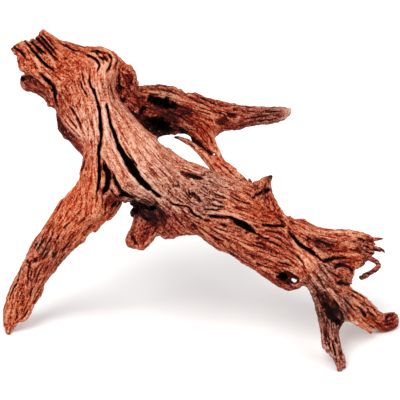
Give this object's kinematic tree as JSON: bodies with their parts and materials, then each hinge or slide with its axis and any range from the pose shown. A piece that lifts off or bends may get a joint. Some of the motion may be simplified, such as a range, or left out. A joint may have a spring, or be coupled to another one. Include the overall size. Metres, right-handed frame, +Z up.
{
  "type": "mangrove root",
  "caption": "Dry mangrove driftwood root: a gnarled, deeply cracked trunk that arches over three feet, with a broken upper end and a rear branch.",
  "frame": {"origin": "on the ground, under the middle of the root's box", "axes": "+X to the right along the trunk's longest reach, from the left foot to the tail; +Y from the viewer's side to the rear branch's side; +Z up"},
  "size_m": [0.4121, 0.1618, 0.3242],
  "materials": {
    "mangrove_wood": "dry, weathered, matt, with a deep fibrous grain"
  },
  "bodies": {
    "root": {"mangrove_root": "mangrove_wood"}
  },
  "joints": []
}
